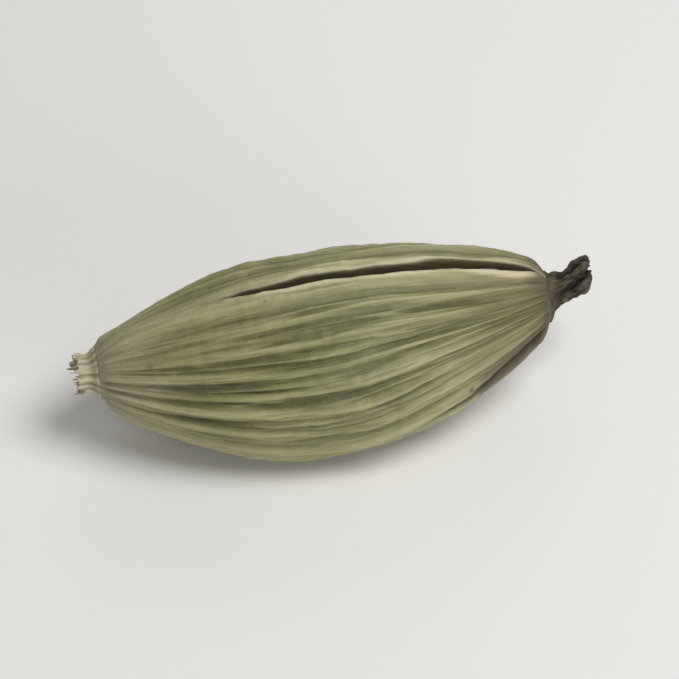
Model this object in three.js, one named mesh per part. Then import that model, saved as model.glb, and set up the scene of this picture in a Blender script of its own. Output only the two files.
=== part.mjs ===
// A dried green cardamom pod: a ribbed, three-sided husk with the stub of its stalk at one end
// and the withered flower at the other, lying on one of its three valves.
// Millimetres, +Z up, the length along X with the stalk end at -X. The origin is on the surface
// that the pod lies on, under the middle of the pod.
import * as THREE from "three";

// Driving dimensions
const podLength = 19.4; // from the broken stalk to the end of the flower
const podWidth = 7.6; // at the belly, ribs included
const stalkOut = 0.7; // how far the stalk stands out of the husk
const beakOut = 1.8; // how far the flower stands out of the husk
const restHeight = 3.12; // from the surface up to the middle of the belly

// The husk's long outline: a full spindle that narrows to the stalk and to the neck at its tip
const stalkRim = 0.95;
const neckRim = 0.9;
const stalkFullness = 0.85;
const tipFullness = 0.66;

// The husk's cross-section: three rounded corners, with a seam along each
const valves = 3;
const cornerRise = 0.075; // share of the radius that a corner stands out and a side falls in
const sectionReach = 1.022; // half the section's width, in radii, for that rise

// The ribs along each valve, which differ in height and sway a little on their way
const ribsPerValve = 8;
const ribHeight = 0.2;
const ribSharpness = 1.25;
const ribVariation = 0.25;
const ribStep = 2.4; // radians from one rib's wave to the next
const ribWaves = 1.1;
const swayTurn = THREE.MathUtils.degToRad(2.6);
const swayWaves = 1.3;

// The seams: closed towards the stalk, and gaping between raised lips towards the tip. The lists
// give the seam on top, the one low in front and the one low at the back.
const seamDepth = 0.26;
const seamGape = 0.34;
const seamWidth = 0.2;
const gapeWidth = [0.2, 0.34, 0.2];
const gapeFrom = [0.22, 0.64, 0.62]; // share of the length
const gapeRun = 0.28;
const lipHeight = 0.12;
const lipOffset = 0.26; // from the edge of a seam to the crest of its lip
const lipWidth = 0.26;
const closedLip = 0.6; // share of a lip's height where its seam is closed

// The seam low in front climbs on its way to the tip, so the valve above it grows narrower
const climbingSeam = 1;
const seamClimb = THREE.MathUtils.degToRad(25);
const climbFrom = 0.45; // share of the length

// The seeds inside press the valves out in a slow wave, out of step from valve to valve
const seedSwell = 0.09;
const seedWaves = 2.4;
const valveStep = 1.9; // radians from one valve's wave to the next

// Relief and corners fade out over these shares of the husk's length, at the stalk and the neck
const stalkFade = 0.06;
const neckFade = 0.05;

// The pod's bow: both ends curve up and back from the belly, the tip more than the stalk
const bow = 0.5;
const bowTowardsTip = 0.3;
const bowLean = THREE.MathUtils.degToRad(42); // from upright, towards +Y

// The stalk and the flower, each rooted in a socket of the husk, with a collar over its rim
const rootDepth = 0.5;
const rootGap = 0.04;
const collarRise = 0.2;
const collarRun = 0.2; // along the pod
const stalkRadius = 0.74;
const stalkFibres = 9;
const stalkFibreDepth = 0.07; // share of the radius
const stalkPith = 0.14; // how deep the broken end is hollow
const beakRadius = 0.74;
const beakPinch = 0.2; // share of the radius lost between neck and knob
const knobSwell = 0.12; // share of the radius gained again in the knob
const knobFrom = 0.35; // shares of the flower's length
const knobTo = 0.75;
const beakCurl = 0.36; // how far the knob bends up
const beakFolds = 5;
const beakFoldDepth = 0.17;
const beakTwist = 1.6; // radians that the folds turn from neck to knob
const knobSquareness = 8;

// How finely the surfaces are divided
const slicesPerRib = 4;
const huskSteps = 34;
const endSlices = 36;
const endSteps = 12;

const huskLength = podLength - stalkOut - beakOut;
const huskStart = stalkOut - podLength / 2;
const bellyRadius = (podWidth / 2 - ribHeight) / sectionReach;
const valveTurn = (2 * Math.PI) / valves;
const { lerp, smoothstep, euclideanModulo } = THREE.MathUtils;

// The middle line of the pod, at a share of the husk's length. Shares under 0 and over 1 run on
// into the stalk and the flower.
function middle(share, target) {
  const fromBelly = 2 * share - 1;
  const rise = bow * fromBelly ** 2 * (1 + bowTowardsTip * fromBelly);
  target.x = huskStart + share * huskLength;
  return lift(target.setY(0).setZ(0), rise);
}

// Moves a point up and back, the way that the pod bows
function lift(point, rise) {
  point.y += rise * Math.sin(bowLean);
  point.z += rise * Math.cos(bowLean);
  return point;
}

// A point at a radius from the middle line. The turn starts at +Y and runs up through +Z.
function aroundMiddle(share, radius, turn, target) {
  middle(share, target);
  target.y += radius * Math.cos(turn);
  target.z += radius * Math.sin(turn);
  return target;
}

// The husk's plain radius, before its corners and relief
function spindleRadius(share) {
  const rim = lerp(stalkRim, neckRim, share);
  const fullness = lerp(stalkFullness, tipFullness, share);
  return rim + (bellyRadius - rim) * Math.sin(Math.PI * share) ** fullness;
}

// A slow wave along the husk
function wave(share, waves, start) {
  return Math.sin(2 * Math.PI * waves * share + start);
}

// The height of a rounded ridge, 1 at its crest
function ridge(distance, width) {
  return Math.exp(-((distance / width) ** 2));
}

// The furrow of a seam and the lips beside it, at a distance from the seam
function seamRelief(share, seam, distance) {
  const gape = smoothstep(share, gapeFrom[seam], gapeFrom[seam] + gapeRun);
  const width = lerp(seamWidth, gapeWidth[seam], gape);
  const furrow = (seamDepth + seamGape * gape) * ridge(distance, width);
  const lip = lipHeight * lerp(closedLip, 1, gape) * ridge(distance - width - lipOffset, lipWidth);
  return lip - furrow;
}

// The ribs of a valve, at a share of the way across it
function ribRelief(share, valve, across) {
  const rib = Math.floor(across * ribsPerValve) + ribsPerValve * valve;
  const strength = 1 - ribVariation + ribVariation * wave(share, ribWaves, ribStep * rib);
  const crest = 0.5 - 0.5 * Math.cos(2 * Math.PI * ribsPerValve * across);
  return ribHeight * strength * crest ** ribSharpness;
}

// A point of the husk's skin, at a share of its length and a turn about its middle line. The
// first seam runs along the top.
function skinPoint(share, turn, target) {
  const valvesPassed = euclideanModulo((turn - Math.PI / 2) / valveTurn, valves);
  const valve = Math.floor(valvesPassed);
  const across = valvesPassed - valve;
  const midValve = Math.sin(Math.PI * across);
  const radius = spindleRadius(share);
  const seam = Math.round(valvesPassed) % valves;
  const fromSeam = Math.min(across, 1 - across) * valveTurn * radius;

  const seeds = seedSwell * midValve ** 2 * wave(share, seedWaves, valveStep * valve);
  const ribs = ribRelief(share, valve, across) * Math.sqrt(radius / bellyRadius);
  const corner = cornerRise * radius * Math.cos(2 * Math.PI * across);
  const fade = smoothstep(share, 0, stalkFade) * smoothstep(1 - share, 0, neckFade);
  const reach = radius + fade * (corner + seeds + ribs + seamRelief(share, seam, fromSeam));

  const sway = swayTurn * midValve * wave(share, swayWaves, valveStep * valve);
  const valvesAway = Math.min(Math.abs(valvesPassed - climbingSeam), 1);
  const pull = 0.5 + 0.5 * Math.cos(Math.PI * valvesAway);
  const climb = seamClimb * pull * smoothstep(share, climbFrom, 1);
  return aroundMiddle(share, reach, turn + sway - climb, target);
}

// A lathe-turned body whose points are then set in place one by one. Each station gives the
// share of the husk's length, the radius and the rule that sets its points.
function turnedBody(stations, slices) {
  const outline = stations.map(({ share, radius }) => new THREE.Vector2(radius, share * huskLength));
  const geometry = new THREE.LatheGeometry(outline, slices);
  const position = geometry.getAttribute("position");
  const point = new THREE.Vector3();
  for (let i = 0; i < position.count; i++) {
    const station = stations[i % stations.length];
    const slice = Math.floor(i / stations.length);
    station.place((2 * Math.PI * slice) / slices, point);
    position.setXYZ(i, point.x, point.y, point.z);
  }
  geometry.computeVertexNormals();
  return geometry;
}

function roundStation(share, radius) {
  return { share, radius, place: (turn, point) => aroundMiddle(share, radius, turn, point) };
}

// The skin is flat where the pod rests
function skinStation(share) {
  const place = (turn, point) => {
    skinPoint(share, turn, point);
    point.z = Math.max(point.z, -restHeight);
  };
  return { share, radius: spindleRadius(share), place };
}

// The skin from rim to rim, divided more closely where the ends curve, with a socket in each end
function huskGeometry() {
  const rootShare = rootDepth / huskLength;
  const stalkSocket = stalkRadius + rootGap;
  const beakSocket = beakRadius + rootGap;
  const stations = [
    roundStation(rootShare, 0),
    roundStation(rootShare, stalkSocket),
    roundStation(0, stalkSocket),
  ];
  for (let step = 0; step <= huskSteps; step++) {
    stations.push(skinStation((1 - Math.cos((Math.PI * step) / huskSteps)) / 2));
  }
  stations.push(
    roundStation(1, beakSocket),
    roundStation(1 - rootShare, beakSocket),
    roundStation(1 - rootShare, 0),
  );
  return turnedBody(stations, valves * ribsPerValve * slicesPerRib);
}

// How far the collar of the stalk or the flower stands out, at a distance out of the husk
function collar(out) {
  return collarRise * ridge(out - rootGap, collarRun);
}

// The stalk's stub: a bundle of fibres, hollow in the middle where it broke off
function stalkGeometry() {
  const root = rootDepth - rootGap;
  const station = (out, radius) => {
    const share = -out / huskLength;
    const free = smoothstep(out, 0, stalkOut);
    const place = (turn, point) => {
      const fibres = 1 - stalkFibreDepth * free * (1 + Math.cos(stalkFibres * turn));
      aroundMiddle(share, radius * fibres, turn, point);
    };
    return { share, radius, place };
  };
  const stations = [station(stalkOut - stalkPith, 0)];
  for (let step = 0; step <= endSteps; step++) {
    const out = lerp(stalkOut, rootGap, step / endSteps);
    stations.push(station(out, stalkRadius + collar(out)));
  }
  stations.push(station(rootGap, stalkRadius), station(-root, stalkRadius), station(-root, 0));
  return turnedBody(stations, endSlices);
}

// The withered flower: a folded tube, pinched above the neck, that ends in a curled knob
function beakGeometry() {
  const root = rootDepth - rootGap;
  const station = (out) => {
    const share = 1 + out / huskLength;
    const free = out / beakOut;
    const swell = knobSwell * smoothstep(free, knobFrom, knobTo);
    const waist = 1 - beakPinch * Math.sin(Math.PI * free) + swell;
    const radius = beakRadius * waist * Math.sqrt(1 - free ** knobSquareness) + collar(out);
    const place = (turn, point) => {
      const folds = 1 - beakFoldDepth * free * (1 + Math.cos(beakFolds * turn + beakTwist * free));
      aroundMiddle(share, radius * folds, turn, point);
      lift(point, beakCurl * free ** 2);
    };
    return { share, radius, place };
  };
  const rootShare = 1 - root / huskLength;
  const stations = [
    roundStation(rootShare, 0),
    roundStation(rootShare, beakRadius),
    roundStation(1 + rootGap / huskLength, beakRadius),
  ];
  for (let step = 0; step <= endSteps; step++) {
    stations.push(station(lerp(rootGap, beakOut, Math.sin(((Math.PI / 2) * step) / endSteps))));
  }
  return turnedBody(stations, endSlices);
}

const huskSkin = new THREE.MeshStandardMaterial({ color: "#84834f", roughness: 0.6, metalness: 0 });
const stalkFibre = new THREE.MeshStandardMaterial({ color: "#b5a77c", roughness: 0.8, metalness: 0 });
const dryFlower = new THREE.MeshStandardMaterial({ color: "#453727", roughness: 0.75, metalness: 0 });

function piece(name, geometry, material) {
  const mesh = new THREE.Mesh(geometry, material);
  mesh.name = name;
  return mesh;
}

const pod = new THREE.Group();
pod.name = "cardamom_pod";
pod.add(
  piece("husk", huskGeometry(), huskSkin),
  piece("stalk_stub", stalkGeometry(), stalkFibre),
  piece("flower_beak", beakGeometry(), dryFlower),
);
pod.position.z = restHeight;

export default pod;
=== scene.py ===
import math

import bmesh
import bpy
from mathutils import Matrix, Vector, noise


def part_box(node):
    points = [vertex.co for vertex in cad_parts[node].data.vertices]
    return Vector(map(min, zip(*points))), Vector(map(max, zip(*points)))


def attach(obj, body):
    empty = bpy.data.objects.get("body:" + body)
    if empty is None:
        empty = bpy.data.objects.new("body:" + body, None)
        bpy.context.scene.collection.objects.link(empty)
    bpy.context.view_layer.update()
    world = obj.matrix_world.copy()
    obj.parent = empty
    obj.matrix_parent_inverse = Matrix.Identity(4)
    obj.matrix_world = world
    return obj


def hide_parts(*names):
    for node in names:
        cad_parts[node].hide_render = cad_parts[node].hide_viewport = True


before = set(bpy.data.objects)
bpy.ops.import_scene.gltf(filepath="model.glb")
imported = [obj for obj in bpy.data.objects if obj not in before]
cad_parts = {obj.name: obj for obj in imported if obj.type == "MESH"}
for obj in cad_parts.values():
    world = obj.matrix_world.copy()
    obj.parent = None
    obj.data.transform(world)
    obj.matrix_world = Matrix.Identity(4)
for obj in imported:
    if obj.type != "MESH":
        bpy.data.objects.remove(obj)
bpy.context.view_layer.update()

# The husk: the skin of the seed capsule, three leathery valves that grew as one piece. Drying
# shrinks it onto the seeds and wrinkles it into ribs along its length, and its three seams, one
# on each corner, part towards the tip between pale lips. It lies on its bottom valve.
mm = 0.001
husk_low, husk_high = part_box("husk")
husk_start = husk_low.x
husk_length = husk_high.x - husk_low.x
rest_height = 3.12 * mm
belly_radius = 3.522 * mm
stalk_rim = 0.95 * mm
neck_rim = 0.9 * mm
stalk_fullness = 0.85
tip_fullness = 0.66
bow = 0.5 * mm
bow_towards_tip = 0.3
bow_lean = math.radians(42)

valves = 3
valve_turn = 2 * math.pi / valves
valve_step = 1.9
top_turn = math.pi / 2
corner_rise = 0.075
corner_fades = (0.06, 0.05)
relief_fade = 0.02
seed_swell = 0.09 * mm
seed_waves = 2.4
sway_turn = math.radians(2.6)
sway_waves = 1.3

# The ribs, the lesser ribs that fork off between them, and the finer lines and wrinkles. Cells
# say how fine a roughness is.
ribs_per_valve = 8
rib_height = 0.21 * mm
rib_sharpness = 1.7
rib_variation = 0.25
rib_step = 2.4
rib_waves = 1.1
rib_wander = 0.4
rib_wander_cells = (1.6, 2.8, 0)
rib_fading = 0.5
rib_fading_cells = (3.7, 0.5, 4.5)
fork_height = 0.14 * mm
fork_sharpness = 3
fork_cells = (5.3, 9.5, 3.2)
fork_begins = -0.05
fork_full = 0.3
fork_paleness = 0.6
vein_height = 0.035 * mm
vein_width = 0.07
vein_highlight = 0.5
stria_heights = (0.055 * mm, 0.05 * mm, 0.025 * mm)
stria_cells = ((10, 2.8, 4), (20, 5.5, 11), (37, 9, 23))
stria_sharpness = 3
stria_highlight = (1, 0.6, 0.4)
dent_depth = 0.1 * mm
dent_cells = (1.4, 4, 2)
pucker_depth = 0.028 * mm
pucker_cells = ((7, 58, 7), (12, 30, 15))

# The seams in turn: along the top, low in front and low at the back. The one low in front climbs
# the tip, and its edges are coloured dark brown.
low_front_seam = 1
seam_climb = math.radians(25)
climb_from = 0.45
seam_wander = 0.13 * mm
seam_wander_cells = (7, 4.1, 0.5)
gape_from = (0.22, 0.64, 0.62)
gape_run = 0.28
gape_closing = (0.1, 0.06, 0.14)
gape_unevenness = 0.35
gape_cells = (9, 2.7, 3.3)
groove_width = 0.06 * mm
groove_depth = 0.12 * mm
slit_widths = (0.13 * mm, 0.33 * mm, 0.14 * mm)
slit_depths = (0.6 * mm, 0.9 * mm, 0.6 * mm)
slit_squareness = 4
groove_shade_spread = 0.08 * mm
closed_groove_shade = 0.35
groove_shade_full = 0.3
suture_height = 0.12 * mm
suture_width = 0.34 * mm
lip_height = 0.13 * mm
lip_gap = 0.1 * mm
lip_width = 0.16 * mm
closed_lip = 0.3
lesser_lip = 0.7
split_edge_darkness = (0, 1, 0)
dark_edge_reach = 0.5 * mm

socket_depth = 0.5 * mm
socket_radius = 0.78 * mm
rim_slack = 0.02 * mm
husk_steps = 54
step_evenness = 0.5
husk_slices = 180
husk_cuts = 2


def between(low, high, share):
    return low + (high - low) * share


def ease(value, low, high):
    """0 below low, 1 above high and a smooth step from one to the other."""
    share = min(max((value - low) / (high - low), 0), 1)
    return share * share * (3 - 2 * share)


def wave(share, waves, start):
    return math.sin(2 * math.pi * waves * share + start)


def ridge(distance, width):
    """The height of a rounded ridge, 1 at its crest."""
    return math.exp(-((distance / width) ** 2))


def trench(distance, width):
    """The depth of a trench with steep sides, 1 along its middle."""
    return math.exp(-((distance / width) ** slit_squareness))


def lifted(point, rise):
    """The point moved up and back, the way that the pod bows."""
    return point + Vector((0, rise * math.sin(bow_lean), rise * math.cos(bow_lean)))


def middle(share):
    """The pod's middle line. Shares under 0 and over 1 run on into the stalk and the flower."""
    from_belly = 2 * share - 1
    rise = bow * from_belly**2 * (1 + bow_towards_tip * from_belly)
    return lifted(Vector((husk_start + share * husk_length, 0, rest_height)), rise)


def around_middle(share, radius, turn):
    return middle(share) + Vector((0, radius * math.cos(turn), radius * math.sin(turn)))


def rim_radius(share):
    return between(stalk_rim, neck_rim, share)


def spindle_radius(share):
    rim = rim_radius(share)
    fullness = between(stalk_fullness, tip_fullness, share)
    return rim + (belly_radius - rim) * max(math.sin(math.pi * share), 0) ** fullness


def spot(place, cells):
    """Noise from about -1 to 1. Cells are its spots to a step along each axis of the place."""
    return noise.noise(Vector(place) * Vector(cells))


def roughened(share, turn, cells):
    """Noise from about -1 to 1 that runs round the pod with no join.

    Cells are its spots round a radius, its spots along the husk and where it starts.
    """
    round_cells, long_cells, start = cells
    across = round_cells * math.cos(turn) + start
    up = round_cells * math.sin(turn) + start
    return noise.noise(Vector((across, up, long_cells * share + start)))


def rib_relief(share, turn, valve, across):
    """A valve's ribs, the lesser ribs that fork off between them and the veins on their crests."""
    mid_valve = math.sin(math.pi * across)
    place = across * ribs_per_valve
    place += rib_wander * mid_valve * roughened(share, turn, rib_wander_cells)
    rib = math.floor(place) + ribs_per_valve * valve
    strength = 1 - rib_variation + rib_variation * wave(share, rib_waves, rib_step * rib)
    strength *= 1 + rib_fading * spot((rib, 1, share), rib_fading_cells)
    ribs = strength * (0.5 - 0.5 * math.cos(2 * math.pi * place)) ** rib_sharpness

    fork = math.floor(place + 0.5) + ribs_per_valve * valve
    forking = ease(spot((fork, 1, share), fork_cells), fork_begins, fork_full) * mid_valve
    forks = forking * (0.5 + 0.5 * math.cos(2 * math.pi * place)) ** fork_sharpness
    veins = ridge(place % 1 - 0.5, vein_width) * strength
    return ribs, forks, veins


def seam_relief(share, seam, from_seam):
    """A seam's height, and how much painted shade in its groove, pale lip and dark edge there is in
    it.
    """
    parted = ease(share, gape_from[seam], gape_from[seam] + gape_run)
    gape = parted * ease(1 - share, 0, gape_closing[seam])
    gape *= 1 + gape_unevenness * spot((share, seam, 1), gape_cells)
    from_seam += seam_wander * spot((share, seam, 1), seam_wander_cells)
    width = between(groove_width, slit_widths[seam], gape)
    depth = between(groove_depth, slit_depths[seam], gape)
    lip = ridge(abs(from_seam) - width - lip_gap, lip_width) * between(closed_lip, 1, gape)
    lip *= 1 if from_seam > 0 else lesser_lip
    suture = suture_height * (1 - gape) * ridge(from_seam, suture_width)
    height = suture + lip_height * lip - depth * trench(from_seam, width)
    # Painted shade in the seam's groove, fullest where it gapes open.
    stain = trench(from_seam, width + groove_shade_spread * gape)
    stain *= between(closed_groove_shade, 1, ease(gape, 0, groove_shade_full))
    split_edge_dark = split_edge_darkness[seam] * parted * trench(from_seam, width + dark_edge_reach)
    return height, stain, lip, split_edge_dark


def skin(share, turn):
    """A point of the husk's skin, with how much there is of each mark that colours it there."""
    passed = (turn - top_turn) / valve_turn % valves
    valve = int(passed)
    across = passed - valve
    nearest_seam = math.floor(passed + 0.5)
    mid_valve = math.sin(math.pi * across)
    radius = spindle_radius(share)
    thinning = math.sqrt(radius / belly_radius)

    ribs, forks, veins = rib_relief(share, turn, valve, across)
    striae = [1 - stria_sharpness * abs(roughened(share, turn, cells)) for cells in stria_cells]
    puckers = sum(roughened(share, turn, cells) for cells in pucker_cells)
    seeds = mid_valve**2 * wave(share, seed_waves, valve_step * valve)
    from_seam = (passed - nearest_seam) * valve_turn * radius
    seam, slit, lip, split_edge_dark = seam_relief(share, nearest_seam % valves, from_seam)

    shape = (
        corner_rise * radius * math.cos(2 * math.pi * across)
        + seed_swell * seeds
        + dent_depth * roughened(share, turn, dent_cells)
        + seam
    )
    relief = (
        rib_height * ribs
        + fork_height * forks
        + vein_height * veins
        + sum(height * stria for height, stria in zip(stria_heights, striae))
        + pucker_depth * puckers
    )
    stalk_fade, neck_fade = corner_fades
    reach = radius + shape * ease(share, 0, stalk_fade) * ease(1 - share, 0, neck_fade)
    reach += relief * thinning * ease(share, 0, relief_fade) * ease(1 - share, 0, relief_fade)
    sway = sway_turn * mid_valve * wave(share, sway_waves, valve_step * valve)
    low_front = 0.5 + 0.5 * math.cos(math.pi * min(abs(passed - low_front_seam), 1))
    climb = seam_climb * low_front * ease(share, climb_from, 1)
    point = around_middle(share, reach, turn + sway - climb)
    point.z = max(point.z, 0)

    # The rib and stria marks are the heights of the ribs and the fine lines, for painted highlight
    # on their crests and painted shade in their hollows.
    fine_lines = sum(pale * stria for pale, stria in zip(stria_highlight, striae))
    marks = {
        "rib": max(ribs, fork_paleness * forks),
        "stria": fine_lines + vein_highlight * veins,
        "corner": 1 - mid_valve,
        "slit": slit,
        "lip": lip,
        "split_edge_dark": split_edge_dark,
    }
    return point, marks


def spun(mesh, outline, slices, cuts):
    """An outline of (distance along, radius) spun about the pod's length, and then cut finer."""
    weld = 1e-4 * mm
    line = [mesh.verts.new((along, radius, 0)) for along, radius in outline]
    edges = [mesh.edges.new(pair) for pair in zip(line, line[1:])]
    bmesh.ops.spin(
        mesh,
        geom=line + edges,
        cent=(0, 0, 0),
        axis=(1, 0, 0),
        angle=2 * math.pi,
        steps=slices,
        use_merge=True,
    )
    bmesh.ops.remove_doubles(mesh, verts=mesh.verts, dist=weld)
    bmesh.ops.subdivide_edges(mesh, edges=mesh.edges, cuts=cuts, use_grid_fill=True)
    bmesh.ops.recalc_face_normals(mesh, faces=mesh.faces)


socket = [(socket_depth, 0), (socket_depth, socket_radius), (0, socket_radius)]
outline = list(socket)
for step in range(husk_steps + 1):
    even = step / husk_steps
    crowded = (1 - math.cos(math.pi * even)) / 2
    share = between(crowded, even, step_evenness)
    outline.append((share * husk_length, spindle_radius(share)))
outline += [(husk_length - along, radius) for along, radius in reversed(socket)]

husk_mesh = bmesh.new()
spun(husk_mesh, outline, husk_slices, husk_cuts)
mark_names = ("rib", "stria", "corner", "slit", "lip", "split_edge_dark")
mark_layers = {name: husk_mesh.verts.layers.float.new(name) for name in mark_names}
along_layer = husk_mesh.verts.layers.float.new("along")
husk_grain = husk_mesh.verts.layers.float_vector.new("grain")
for vert in husk_mesh.verts:
    share = vert.co.x / husk_length
    radius = math.hypot(vert.co.y, vert.co.z)
    turn = math.atan2(vert.co.z, vert.co.y)
    vert[along_layer] = share
    vert[husk_grain] = (math.cos(turn), math.sin(turn), share)
    if radius < rim_radius(share) - rim_slack:
        vert.co = around_middle(share, radius, turn)
        vert[mark_layers["slit"]] = 1
    else:
        vert.co, marks = skin(share, turn)
        for name, amount in marks.items():
            vert[mark_layers[name]] = amount


class Tone:
    """A value or colour that varies over a finish. Sums on tones add the maths to the finish."""

    def __init__(self, tree, socket=None):
        self.tree = tree
        self.socket = socket

    def node(self, kind, settings, sockets, output=0):
        made = self.tree.nodes.new(kind)
        for name, value in settings.items():
            setattr(made, name, value)
        for name, value in sockets.items():
            if isinstance(value, Tone):
                self.tree.links.new(value.socket, made.inputs[name])
            else:
                made.inputs[name].default_value = value
        return Tone(self.tree, made.outputs[output])

    def maths(self, operation, first, second):
        return self.node("ShaderNodeMath", {"operation": operation}, {0: first, 1: second})

    def __add__(self, other):
        return self.maths("ADD", self, other)

    def __radd__(self, other):
        return self.maths("ADD", other, self)

    def __sub__(self, other):
        return self.maths("SUBTRACT", self, other)

    def __rsub__(self, other):
        return self.maths("SUBTRACT", other, self)

    def __mul__(self, other):
        return self.maths("MULTIPLY", self, other)

    def __rmul__(self, other):
        return self.maths("MULTIPLY", other, self)


def begin_finish(name):
    material = bpy.data.materials.new(name)
    material.use_nodes = True
    shader = material.node_tree.nodes["Principled BSDF"]
    return material, shader, Tone(material.node_tree)


def attribute(finish, name, output="Fac"):
    return finish.node("ShaderNodeAttribute", {"attribute_name": name}, {}, output)


def object_place(finish):
    return finish.node("ShaderNodeTexCoord", {}, {}, "Object")


def stretched(place, sizes):
    """A place scaled along each of its axes, so that marks on it come out long or short."""
    return place.node("ShaderNodeVectorMath", {"operation": "MULTIPLY"}, {0: place, 1: sizes})


def mottled(place, scale, detail=2.0, roughness=0.5, output=0):
    return place.node(
        "ShaderNodeTexNoise",
        {},
        {"Vector": place, "Scale": scale, "Detail": detail, "Roughness": roughness},
        output,
    )


def frayed(tone, mottle, by):
    """A tone made uneven by a mottle."""
    return tone + (mottle - 0.5) * by


def stepped(tone, begins, full, strength=1):
    """0 where the tone isn't yet at begins, its full strength past full, a smooth step between."""
    return tone.node(
        "ShaderNodeMapRange",
        {"interpolation_type": "SMOOTHSTEP"},
        {"Value": tone, "From Min": begins, "From Max": full, "To Max": strength},
    )


def painted(under, over, share):
    """One colour over another, by a share from 0 to 1."""
    return share.node("ShaderNodeMix", {"data_type": "RGBA"}, {0: share, 6: under, 7: over}, 2)


def coated(under, over, where, begins, full, strength=1):
    """One colour over another, where a tone passes from begins to full."""
    return painted(under, over, stepped(where, begins, full, strength))


def bumped(height, strength, depth):
    """The fine relief of a finish, from the heights of its marks."""
    sockets = {"Strength": strength, "Distance": depth, "Height": height}
    return height.node("ShaderNodeBump", {}, sockets)


def lay(shader, **tones):
    """Feeds tones to a shader's sockets, named with _ for a space."""
    for name, tone in tones.items():
        socket = shader.inputs[name.replace("_", " ")]
        shader.id_data.links.new(tone.socket, socket)


olive_green = (0.205, 0.205, 0.08, 1)
olive_tan = (0.285, 0.25, 0.115, 1)
rib_straw = (0.4, 0.385, 0.205, 1)
valley_green = (0.1, 0.1, 0.038, 1)
lip_straw = (0.62, 0.565, 0.37, 1)
slit_shade_brown = (0.075, 0.062, 0.028, 1)
stalk_straw = (0.43, 0.4, 0.245, 1)
tip_tan = (0.22, 0.185, 0.095, 1)
tip_brown = (0.095, 0.076, 0.042, 1)
speck_brown = (0.09, 0.06, 0.028, 1)
speck_raggedness = 0.5 * mm
speck_strength = 0.7
skin_gloss = 0.45
skin_dullness = 0.33
furrow_dulling = 0.12
fibre_dulling = 0.16
slit_dulling = 0.35
fibre_relief = 0.8
streak_relief = 0.4
blotch_relief = 0.3
crinkle_relief = 0.15
pore_relief = 0.3

husk_skin, skin_shader, finish = begin_finish("husk_skin")
rib = attribute(finish, "rib")
stria = attribute(finish, "stria")
corner = attribute(finish, "corner")
slit = attribute(finish, "slit")
lip = attribute(finish, "lip")
split_edge_dark = attribute(finish, "split_edge_dark")
along = attribute(finish, "along")
grain = attribute(finish, "grain", "Vector")
place = object_place(finish)

patches = mottled(place, scale=230, detail=3)
streaks = mottled(stretched(grain, (1, 1, 0.5)), scale=9, detail=4, roughness=0.6)
fibres = mottled(stretched(grain, (1, 1, 0.14)), scale=34, detail=3, roughness=0.65)
blotches = mottled(place, scale=700, detail=4, roughness=0.6)
crinkles = mottled(stretched(grain, (1, 1, 5)), scale=24, detail=3, roughness=0.6)
pores = mottled(place, scale=5000, detail=3, roughness=0.6)
ragged = mottled(place, scale=2500, roughness=0.6, output="Color")
ragged = stretched(ragged, (speck_raggedness, speck_raggedness, speck_raggedness))
ragged = finish.node("ShaderNodeVectorMath", {"operation": "ADD"}, {0: place, 1: ragged})
specks = finish.node("ShaderNodeTexVoronoi", {}, {"Vector": ragged, "Scale": 800, "Randomness": 1})
speckled = stepped(specks, begins=0.13, full=0.05) * stepped(patches, begins=0.45, full=0.54)

# A coat that begins higher than it is full lies where its tone is low
crest_highlight = frayed(rib, streaks, by=0.7)
line_light_and_shade = stria + fibres
corner_pale_and_light = frayed(corner, streaks, by=0.5)
near_tip = frayed(along, streaks, by=0.35)
at_neck = frayed(along, blotches, by=0.12)
near_stalk = frayed(along, streaks, by=0.3)
seam_pale_and_light = frayed(corner, blotches, by=0.3)
by_lip = frayed(lip, blotches, by=0.5)
by_split = frayed(split_edge_dark, blotches, by=0.6)
colour = coated(olive_green, olive_tan, patches, begins=0.4, full=0.66)
# Painted shade in the furrows between the ribs and painted highlight along the rib crests.
colour = coated(colour, valley_green, rib, begins=0.5, full=0, strength=0.8)
colour = coated(colour, rib_straw, crest_highlight, begins=0.2, full=1, strength=0.75)
# Painted highlight on the fine ridges and rib veins and painted shade in the fine grooves between
# them, made uneven by the fibres.
colour = coated(colour, rib_straw, line_light_and_shade, begins=1, full=2.1, strength=0.55)
colour = coated(colour, valley_green, line_light_and_shade, begins=0.9, full=-0.2, strength=0.6)
colour = coated(colour, valley_green, fibres, begins=0.54, full=0.63, strength=0.45)
colour = coated(colour, rib_straw, pores, begins=0.55, full=0.75, strength=0.2)
# Paler towards the corners: the pale sutures, with painted light along the pod's edges.
colour = coated(colour, rib_straw, corner_pale_and_light, begins=0.3, full=0.95, strength=0.5)
colour = coated(colour, tip_tan, near_tip, begins=0.7, full=0.95, strength=0.5)
colour = coated(colour, tip_brown, at_neck, begins=0.93, full=1, strength=0.85)
colour = painted(colour, speck_brown, speck_strength * speckled)
colour = coated(colour, stalk_straw, near_stalk, begins=0.2, full=0.02, strength=0.8)
# Paler still close to the seams: pale sutures, with painted light.
colour = coated(colour, lip_straw, seam_pale_and_light, begins=0.8, full=1.05, strength=0.6)
colour = coated(colour, lip_straw, by_lip, begins=0.3, full=0.85, strength=0.85)
# Dark brown along the edges of the split low in front.
colour = coated(colour, tip_brown, by_split, begins=0.25, full=0.85, strength=0.85)
# Painted shade down in the seam grooves and splits.
colour = coated(colour, slit_shade_brown, slit, begins=0.2, full=0.75)

dullness = skin_dullness + furrow_dulling * (1 - rib) + fibre_dulling * fibres + slit_dulling * slit
height = (
    fibre_relief * fibres
    + streak_relief * streaks
    + blotch_relief * blotches
    + crinkle_relief * crinkles
    + pore_relief * pores
)
relief = bumped(height, strength=0.9, depth=0.08 * mm)
lay(skin_shader, Base_Color=colour, Roughness=dullness, Normal=relief)
skin_shader.inputs["Specular IOR Level"].default_value = skin_gloss


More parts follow.
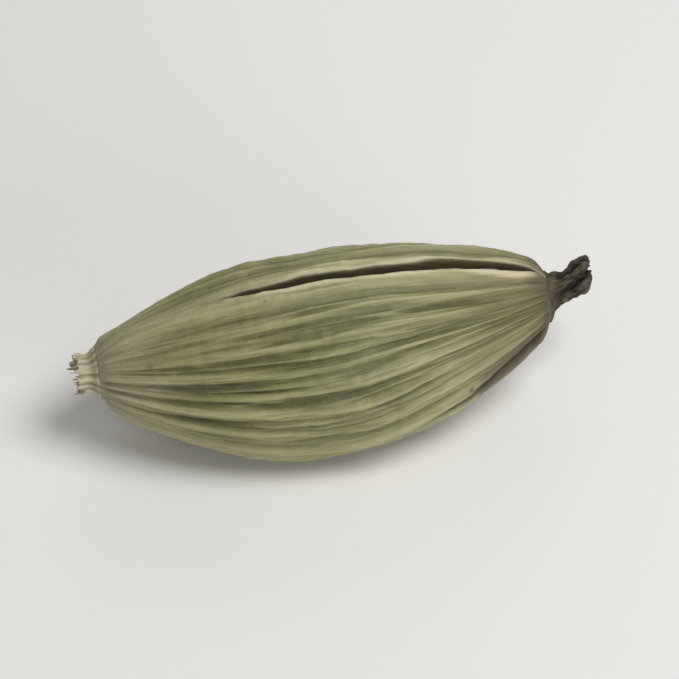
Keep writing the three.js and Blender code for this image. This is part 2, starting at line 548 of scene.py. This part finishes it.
def finished_piece(name, mesh, material, node):
    """A piece made from a mesh that is already in place. It stands for a node of the frame."""
    for face in mesh.faces:
        face.smooth = True
    data = bpy.data.meshes.new(name)
    mesh.to_mesh(data)
    mesh.free()
    data.materials.append(material)
    piece = bpy.data.objects.new(name, data)
    bpy.context.scene.collection.objects.link(piece)
    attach(piece, "root")
    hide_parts(node)


finished_piece("husk_skin", husk_mesh, husk_skin, "husk")

# The stalk's stub: a short, pale, stringy end of the stalk that the pod hung from. It grew out of
# the husk with a low collar, and broke off blunt, with its pith brown and loose fibres at its rim.
stalk_out = 0.7 * mm
stalk_root = 0.46 * mm
stalk_radius = 0.74 * mm
stalk_waist = 0.07 * mm
collar_rise = 0.2 * mm
collar_run = 0.18 * mm
pith_depth = 0.12 * mm
pith_radius = 0.35 * stalk_radius
bark_radius = 0.85 * stalk_radius
break_sharpness = 3
tear_depth = 0.16 * mm
tear_cells = ((3, 0, 5), (9, 0, 1))
splinter_depth = 0.07 * mm
splinter_cells = (4.5 / mm, 4.5 / mm, 0.5)
strand_depth = 0.14
strand_cells = ((5, 0, 3), (12, 0, 8))
strands_begin = -0.05 * mm
strands_full = 0.2 * mm
stub_steps = 12
face_steps = 6
stub_slices = 64
stub_cuts = 1

outline = [(stalk_root, 0), (stalk_root, stalk_radius)]
for step in range(stub_steps + 1):
    share = step / stub_steps
    collar = collar_rise * ridge(share * stalk_out, collar_run)
    radius = stalk_radius - stalk_waist * math.sin(math.pi * share) + collar
    outline.append((-share * stalk_out, radius))
for step in range(1, face_steps + 1):
    inward = step / face_steps
    outline.append((-stalk_out + pith_depth * ease(inward, 0, 1), stalk_radius * (1 - inward)))
stub_mesh = bmesh.new()
spun(stub_mesh, outline, stub_slices, stub_cuts)

# The loose fibres, each a thin cone. The steps from one to the next keep them from being alike.
loose_fibres = 15
fibre_turn = 2.4
fibre_base = 0.06 * mm
fibre_tip = 0.015 * mm
fibre_root = 0.15 * mm
shortest_fibre = 0.12 * mm
longest_fibre = 0.34 * mm
length_step = 3.1
inmost_fibre = 0.72 * stalk_radius
outmost_fibre = 0.95 * stalk_radius
inset_step = 1.7
fibre_splay = 0.9 / mm
fibre_lean = 0.4
fibre_sides = 6
fibre_cuts = 4
for count in range(loose_fibres):
    turn = fibre_turn * count
    loose = between(shortest_fibre, longest_fibre, abs(math.sin(length_step * count)))
    inset = between(inmost_fibre, outmost_fibre, abs(math.sin(inset_step * count)))
    length = fibre_root + loose
    half_out = stalk_out - fibre_root + length / 2
    centre = Vector((-half_out, inset * math.cos(turn), inset * math.sin(turn)))
    fibre = bmesh.ops.create_cone(
        stub_mesh,
        cap_ends=True,
        segments=fibre_sides,
        radius1=fibre_base,
        radius2=fibre_tip,
        depth=length,
        matrix=Matrix.Translation(centre) @ Matrix.Rotation(-math.pi / 2, 4, "Y"),
    )
    edges = {edge for vert in fibre["verts"] for edge in vert.link_edges}
    sides = [edge for edge in edges if edge.calc_length() > length / 2]
    bmesh.ops.subdivide_edges(stub_mesh, edges=sides, cuts=fibre_cuts, use_grid_fill=True)

strand_layer = stub_mesh.verts.layers.float.new("strand")
broken_layer = stub_mesh.verts.layers.float.new("broken")
stub_grain = stub_mesh.verts.layers.float_vector.new("grain")
for vert in stub_mesh.verts:
    out = -vert.co.x
    radius = math.hypot(vert.co.y, vert.co.z)
    turn = math.atan2(vert.co.z, vert.co.y)
    breaking = ease(out, 0, stalk_out) ** break_sharpness
    loose = max(out - stalk_out, 0)
    splinter = spot((vert.co.y, vert.co.z, 1), splinter_cells)
    strand = sum(roughened(0, turn, cells) for cells in strand_cells)
    tear = sum(roughened(0, turn, cells) for cells in tear_cells) * radius / stalk_radius
    out += breaking * (tear_depth * tear + splinter_depth * splinter)
    radius *= 1 + strand_depth * strand * ease(out, strands_begin, strands_full)
    radius += fibre_splay * loose**2 * (fibre_lean + strand)
    vert[strand_layer] = 0.5 + strand
    vert[broken_layer] = breaking * (1 - ease(radius, pith_radius, bark_radius))
    vert[stub_grain] = (math.cos(turn), math.sin(turn), out / mm)
    vert.co = around_middle(-out / husk_length, radius, turn)

stub_straw = (0.53, 0.485, 0.33, 1)
stub_shade = (0.26, 0.22, 0.125, 1)
pith_brown = (0.13, 0.085, 0.042, 1)
stub_dullness = 0.62
string_dulling = 0.2

stalk_fibre, stub_shader, finish = begin_finish("stalk_fibre")
strand = attribute(finish, "strand")
broken = attribute(finish, "broken")
grain = attribute(finish, "grain", "Vector")
strings = mottled(stretched(grain, (1, 1, 0.25)), scale=16, detail=3, roughness=0.6)
stain = mottled(object_place(finish), scale=1800, detail=3)
in_pith = frayed(broken, stain, by=0.556)
# Painted shade along the dips between the strands, then darker strings.
colour = coated(stub_straw, stub_shade, strand, begins=0.6, full=0.1, strength=0.6)
colour = coated(colour, stub_shade, strings, begins=0.5, full=0.7, strength=0.55)
colour = coated(colour, pith_brown, in_pith, begins=0.333, full=0.833, strength=0.85)
dullness = stub_dullness + string_dulling * strings
relief = bumped(strings, strength=0.7, depth=0.05 * mm)
lay(stub_shader, Base_Color=colour, Roughness=dullness, Normal=relief)
finished_piece("stalk_stub_torn", stub_mesh, stalk_fibre, "stalk_stub")

# The flower's remains: the withered tube of the flower that stood on the tip, dark brown and thin
# as paper. It shrivelled into twisted folds over the neck, and curls up into a crumpled knob.
beak_out = 1.8 * mm
beak_root = 0.46 * mm
beak_radius = 0.74 * mm
beak_pinch = 0.2
pinch_lean = 0.8
knob_swell = 0.12
knob_begins = 0.35
knob_full = 0.75
knob_squareness = 8
beak_curl = 0.36 * mm
beak_folds = 5
beak_fold_depth = 0.3
folds_full = 0.6
fold_twist = 1.6
fold_wander = 1.5
fold_wander_cells = (0.8, 2, 3)
crumple_depth = 0.2
crumple_begins = -0.1 * mm
crumple_cells = ((3.2, 4.5, 5), (7, 8, 9))
crumple_highlight = 0.6
lobe_reach = 0.3 * mm
lobes_begin = 0.5
lobe_cells = ((2, 0, 2), (5, 0, 7))
mouth_depth = 0.4 * mm
mouth_begins = 0.9
mouth_floor = 0.1
mouth_rim = 0.6
beak_steps = 30
beak_slices = 84
beak_cuts = 1

outline = [(-beak_root, 0), (-beak_root, beak_radius)]
for step in range(beak_steps + 1):
    free = math.sin(math.pi / 2 * step / beak_steps)
    pinch = beak_pinch * math.sin(math.pi * free**pinch_lean)
    swell = knob_swell * ease(free, knob_begins, knob_full)
    rounding = math.sqrt(1 - free**knob_squareness)
    collar = collar_rise * ridge(free * beak_out, collar_run)
    outline.append((free * beak_out, beak_radius * (1 - pinch + swell) * rounding + collar))
beak_mesh = bmesh.new()
spun(beak_mesh, outline, beak_slices, beak_cuts)

fold_layer = beak_mesh.verts.layers.float.new("fold")
free_layer = beak_mesh.verts.layers.float.new("free")
beak_grain = beak_mesh.verts.layers.float_vector.new("grain")
for vert in beak_mesh.verts:
    out = vert.co.x
    radius = math.hypot(vert.co.y, vert.co.z)
    turn = math.atan2(vert.co.z, vert.co.y)
    free = max(out, 0) / beak_out
    spread = min(radius / beak_radius, 1)
    wander = fold_wander * roughened(free, turn, fold_wander_cells)
    fold = 0.5 + 0.5 * math.cos(beak_folds * turn + fold_twist * free + wander)
    crumple = sum(roughened(free, turn, cells) for cells in crumple_cells)
    lobe = sum(roughened(0, turn, cells) for cells in lobe_cells)
    mouth = ease(free, mouth_begins, 1) * (1 - ease(spread, mouth_floor, mouth_rim))
    radius *= 1 - beak_fold_depth * ease(free, 0, folds_full) * fold
    radius *= 1 + crumple_depth * ease(out, crumple_begins, 0) * crumple
    out += lobe_reach * lobe * ease(free, lobes_begin, 1) * spread - mouth_depth * mouth
    # The fold mark is high on fold crests and crumpled bulges, for painted light there and painted
    # shade in the fold valleys.
    vert[fold_layer] = 1 - fold + crumple_highlight * crumple
    vert[free_layer] = free
    vert[beak_grain] = (math.cos(turn), math.sin(turn), free)
    vert.co = lifted(around_middle(1 + out / husk_length, radius, turn), beak_curl * free**2)

flower_brown = (0.05, 0.041, 0.024, 1)
flower_black = (0.015, 0.012, 0.008, 1)
flower_tan = (0.12, 0.1, 0.06, 1)
flower_gloss = 0.3
flower_dullness = 0.52
vein_dulling = 0.25

dry_flower, flower_shader, finish = begin_finish("dry_flower")
fold = attribute(finish, "fold")
free = attribute(finish, "free")
grain = attribute(finish, "grain", "Vector")
veins = mottled(stretched(grain, (1, 1, 0.5)), scale=14, detail=3, roughness=0.6)
scorch = mottled(object_place(finish), scale=1400, detail=3)
fold_light_and_shade = frayed(fold, scorch, by=0.4)
by_vein = frayed(veins, fold, by=0.6)
# Painted shade in the valleys of the folds, painted light on their crests and crumpled bulges,
# which also brightens the pale veins.
colour = coated(flower_black, flower_brown, fold_light_and_shade, begins=0.1, full=0.7)
colour = coated(colour, flower_tan, by_vein, begins=0.55, full=0.95, strength=0.7)
colour = coated(colour, flower_tan, free, begins=0.3, full=0, strength=0.45)
dullness = flower_dullness + vein_dulling * veins
relief = bumped(veins, strength=0.7, depth=0.05 * mm)
lay(flower_shader, Base_Color=colour, Roughness=dullness, Normal=relief)
flower_shader.inputs["Specular IOR Level"].default_value = flower_gloss
finished_piece("flower_remains", beak_mesh, dry_flower, "flower_beak")

# The floor: one wide sheet of pale matt card, laid flat. The pod lies on it with nothing to hold
# it, on the flat spot under its belly.
floor_half = 1.5
card_white = (0.9, 0.89, 0.87, 1)
card_dullness = 0.9
floor_mesh = bmesh.new()
bmesh.ops.create_grid(floor_mesh, x_segments=1, y_segments=1, size=floor_half)
card, card_shader, finish = begin_finish("card")
card_shader.inputs["Base Color"].default_value = card_white
card_shader.inputs["Roughness"].default_value = card_dullness
floor_data = bpy.data.meshes.new("floor")
floor_mesh.to_mesh(floor_data)
floor_mesh.free()
floor_data.materials.append(card)
floor = bpy.data.objects.new("floor", floor_data)
bpy.context.scene.collection.objects.link(floor)

# The light: one broad soft box over the pod and a little in front, a wider one low in front, a weak
# one behind it, and a pale room all round.
pod_centre = Vector((0, 0, 3.4 * mm))
room_white = (0.93, 0.92, 0.9, 1)
room_strength = 0.25


def soft_box(name, place, width, watts):
    light = bpy.data.lights.new(name, "AREA")
    light.shape = "DISK"
    light.size = width
    light.energy = watts
    lamp = bpy.data.objects.new(name, light)
    lamp.location = place
    lamp.rotation_euler = (pod_centre - Vector(place)).to_track_quat("-Z", "Y").to_euler()
    bpy.context.scene.collection.objects.link(lamp)


soft_box("over_light", place=(0.08, -0.04, 0.19), width=0.12, watts=0.27)
soft_box("front_light", place=(0.11, -0.19, 0.03), width=0.18, watts=0.22)
soft_box("back_light", place=(0.05, 0.2, 0.13), width=0.16, watts=0.06)
room = bpy.data.worlds.new("pale_room")
room.use_nodes = True
room_light = room.node_tree.nodes["Background"]
room_light.inputs["Color"].default_value = room_white
room_light.inputs["Strength"].default_value = room_strength
bpy.context.scene.world = room
bpy.context.scene.view_settings.view_transform = "Standard"

# The camera: a long lens that looks down on the pod, with the stalk at the left and the tip
# turned a little away.
view_width = 25 * mm
view_turn = math.radians(-11.5)
view_height = math.radians(50)
long_lens = 200
nearest_seen = 0.01
camera = bpy.data.cameras.new("camera")
camera.lens = long_lens
camera.clip_start = nearest_seen
view = bpy.data.objects.new("camera", camera)
towards = Vector(
    (
        math.sin(view_turn) * math.cos(view_height),
        -math.cos(view_turn) * math.cos(view_height),
        math.sin(view_height),
    )
)
view.location = pod_centre + towards * (view_width * long_lens / camera.sensor_width)
view.rotation_euler = (-towards).to_track_quat("-Z", "Y").to_euler()
bpy.context.scene.collection.objects.link(view)
bpy.context.scene.camera = view
